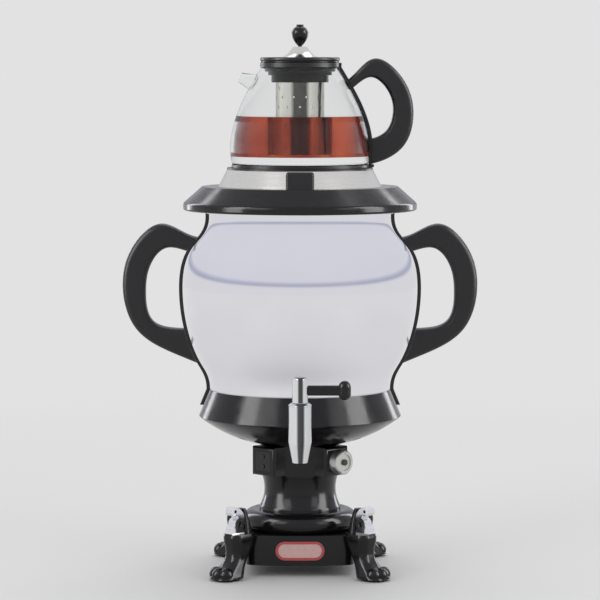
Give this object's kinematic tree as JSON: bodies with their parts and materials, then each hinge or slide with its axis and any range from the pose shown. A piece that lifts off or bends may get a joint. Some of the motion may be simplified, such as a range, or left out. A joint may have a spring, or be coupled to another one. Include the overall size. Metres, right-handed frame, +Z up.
{
  "type": "electric samovar with teapot",
  "caption": "Electric samovar: round steel tank on a footed black column, front tap with lever, side handles, and a lid with a tray that carries a glass teapot with an infuser.",
  "frame": {"origin": "on the floor under the middle of the column", "axes": "+Z up, the tap toward -Y, the teapot's handle toward +X"},
  "size_m": [0.3222, 0.2319, 0.4955],
  "materials": {
    "pad_rubber": "matt",
    "black_plastic": "gloss",
    "inner_plastic": "matt",
    "zinc_screws": "zinc plated",
    "badge_red": "gloss",
    "badge_field": "gloss",
    "brass_pins": "bright",
    "circuit_board": "lacquered",
    "loom_sleeve": "woven",
    "dark_window": "gloss",
    "lamp_lens": "translucent",
    "thermostat_case": "matt",
    "satin_silver": "satin",
    "silicone": "matt",
    "polished_steel": "mirror polished stainless steel",
    "cast_plate": "as cast",
    "element_sheath": "oxidised",
    "chromed_brass": "chrome plated brass",
    "brass_nut": "turned",
    "satin_black": "satin",
    "brushed_plate": "brushed",
    "tray_steel": "bright stainless steel",
    "borosilicate": "clear",
    "basket_steel": "bright",
    "dark_finial": "gloss",
    "chromed_ornament": "chrome plated casting"
  },
  "bodies": {
    "base": {"badge_bezel": "badge_red", "badge_plate": "badge_field", "base_bead": "black_plastic", "base_screws": "zinc_screws", "boil_dry_cutout": "thermostat_case", "column": "black_plastic", "corner_scrolls": "chromed_ornament", "foot_pads": "pad_rubber", "handle_left": "satin_black", "handle_right": "satin_black", "handle_studs": "zinc_screws", "heater_element": "element_sheath", "heater_plate": "cast_plate", "indicator_board": "circuit_board", "indicator_lamps": "lamp_lens", "indicator_panel": "dark_window", "inlet_pins": "brass_pins", "leg_front_left": "black_plastic", "leg_front_right": "black_plastic", "leg_rear_left": "black_plastic", "leg_rear_right": "black_plastic", "mains_inlet": "inner_plastic", "plinth": "black_plastic", "plinth_cover": "inner_plastic", "power_board": "circuit_board", "skirt_bowl": "black_plastic", "strap_left": "satin_black", "strap_right": "satin_black", "tank": "polished_steel", "tank_gasket": "silicone", "tank_screws": "zinc_screws", "tap_body": "chromed_brass", "tap_bonnet": "chromed_brass", "tap_nut": "brass_nut", "tap_washers": "silicone", "thermostat_body": "thermostat_case", "tie_bolts": "zinc_screws", "wiring_loom": "loom_sleeve"},
    "tap_turn": {"tap_plug": "chromed_brass", "tap_lever": "satin_black"},
    "thermostat_turn": {"thermostat_spindle": "zinc_screws", "thermostat_dial": "satin_silver", "dial_insert": "inner_plastic"},
    "lid": {"lid_collar": "black_plastic", "lid_plate": "brushed_plate", "lid_seal": "silicone", "tray": "tray_steel", "tray_rim": "satin_black", "tray_grip": "satin_black"},
    "teapot": {"pot_base_ring": "satin_black", "pot_glass": "borosilicate", "pot_neck_ring": "satin_black", "pot_handle": "satin_black", "pot_handle_screws": "zinc_screws"},
    "infuser": {"infuser_collar": "satin_black", "infuser_basket": "basket_steel"},
    "pot_lid_group": {"pot_lid": "satin_black", "lid_cap": "polished_steel", "finial": "dark_finial"}
  },
  "joints": [
    {"name": "tap_turn", "type": "hinge", "parent": "base", "child": "tap_turn", "pos_m": [0, -0.115, 0.1759], "axis": [0, 0, -1], "range_deg": [0, 90]},
    {"name": "thermostat_turn", "type": "hinge", "parent": "base", "child": "thermostat_turn", "pos_m": [0.03359, -0.03359, 0.1025], "axis": [0.7071, -0.7071, 0], "range_deg": [0, 270]},
    {"name": "lid_lift", "type": "slide", "parent": "base", "child": "lid", "axis": [0, 0, 1], "range_m": [0, 0.06]},
    {"name": "teapot_lift", "type": "slide", "parent": "lid", "child": "teapot", "axis": [0, 0, 1], "range_m": [0, 0.06]},
    {"name": "infuser_lift", "type": "slide", "parent": "teapot", "child": "infuser", "axis": [0, 0, 1], "range_m": [0, 0.09]},
    {"name": "pot_lid_lift", "type": "slide", "parent": "infuser", "child": "pot_lid_group", "axis": [0, 0, 1], "range_m": [0, 0.04]}
  ]
}
